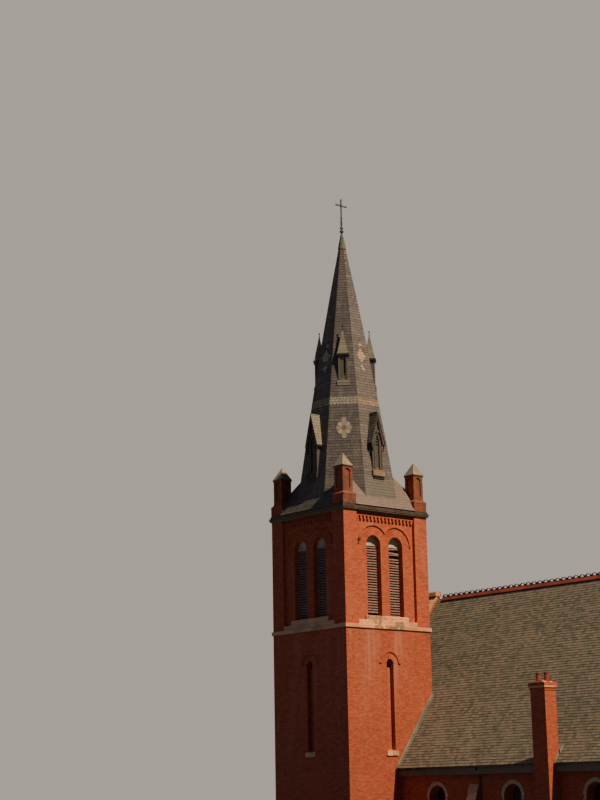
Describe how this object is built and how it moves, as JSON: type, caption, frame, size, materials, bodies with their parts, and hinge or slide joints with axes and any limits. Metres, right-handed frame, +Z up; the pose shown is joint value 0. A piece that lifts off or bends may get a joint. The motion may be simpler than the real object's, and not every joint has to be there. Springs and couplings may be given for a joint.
{
  "type": "brick church with corner tower and slate spire",
  "caption": "Brick church: square corner tower with louvred belfry, corner turrets and octagonal slate spire with lucarnes, beside a gabled nave with a steep slate roof.",
  "frame": {"origin": "on the ground under the middle of the whole building's box", "axes": "+Z up, +X along the nave from its front gable to its rear gable, -Y the tower's open side"},
  "size_m": [27.91, 17.742, 38.1],
  "materials": {
    "brick": "matte",
    "stone": "matte",
    "slate": "satin",
    "patina": "satin",
    "iron": "matte",
    "louvre_wood": "matte",
    "door_wood": "satin",
    "terracotta": "matte",
    "window_glass": "gloss",
    "zinc": "satin"
  },
  "bodies": {
    "root": {"tower_wall_south": "brick", "tower_wall_east": "brick", "tower_wall_north": "brick", "tower_wall_west": "brick", "slit_glass_south": "window_glass", "slit_glass_east": "window_glass", "slit_glass_west": "window_glass", "string_course": "stone", "belfry_wall_south": "brick", "belfry_wall_east": "brick", "belfry_wall_north": "brick", "belfry_wall_west": "brick", "louvre_south_left": "louvre_wood", "louvre_south_right": "louvre_wood", "louvre_east_left": "louvre_wood", "louvre_east_right": "louvre_wood", "louvre_north_left": "louvre_wood", "louvre_north_right": "louvre_wood", "louvre_west_left": "louvre_wood", "louvre_west_right": "louvre_wood", "cornice": "zinc", "turret_south_west": "brick", "turret_south_east": "brick", "turret_north_east": "brick", "turret_north_west": "brick", "turret_cap_south_west": "patina", "turret_cap_south_east": "patina", "turret_cap_north_east": "patina", "turret_cap_north_west": "patina", "spire": "slate", "lower_lucarne_south": "slate", "lower_lucarne_east": "slate", "lower_lucarne_north": "slate", "lower_lucarne_west": "slate", "upper_lucarne_south_west": "slate", "upper_lucarne_south_east": "slate", "upper_lucarne_north_east": "slate", "upper_lucarne_north_west": "slate", "spire_cap": "patina", "cross_finial": "iron", "nave_wall_south": "brick", "nave_wall_north": "brick", "front_gable": "brick", "rear_gable": "brick", "nave_roof_south": "slate", "nave_roof_north": "slate", "ridge_cresting": "terracotta", "nave_floor": "stone", "front_doors": "door_wood", "chimney": "brick", "glass_south": "window_glass", "glass_north": "window_glass", "glass_front": "window_glass", "glass_rear": "window_glass"}
  },
  "joints": []
}
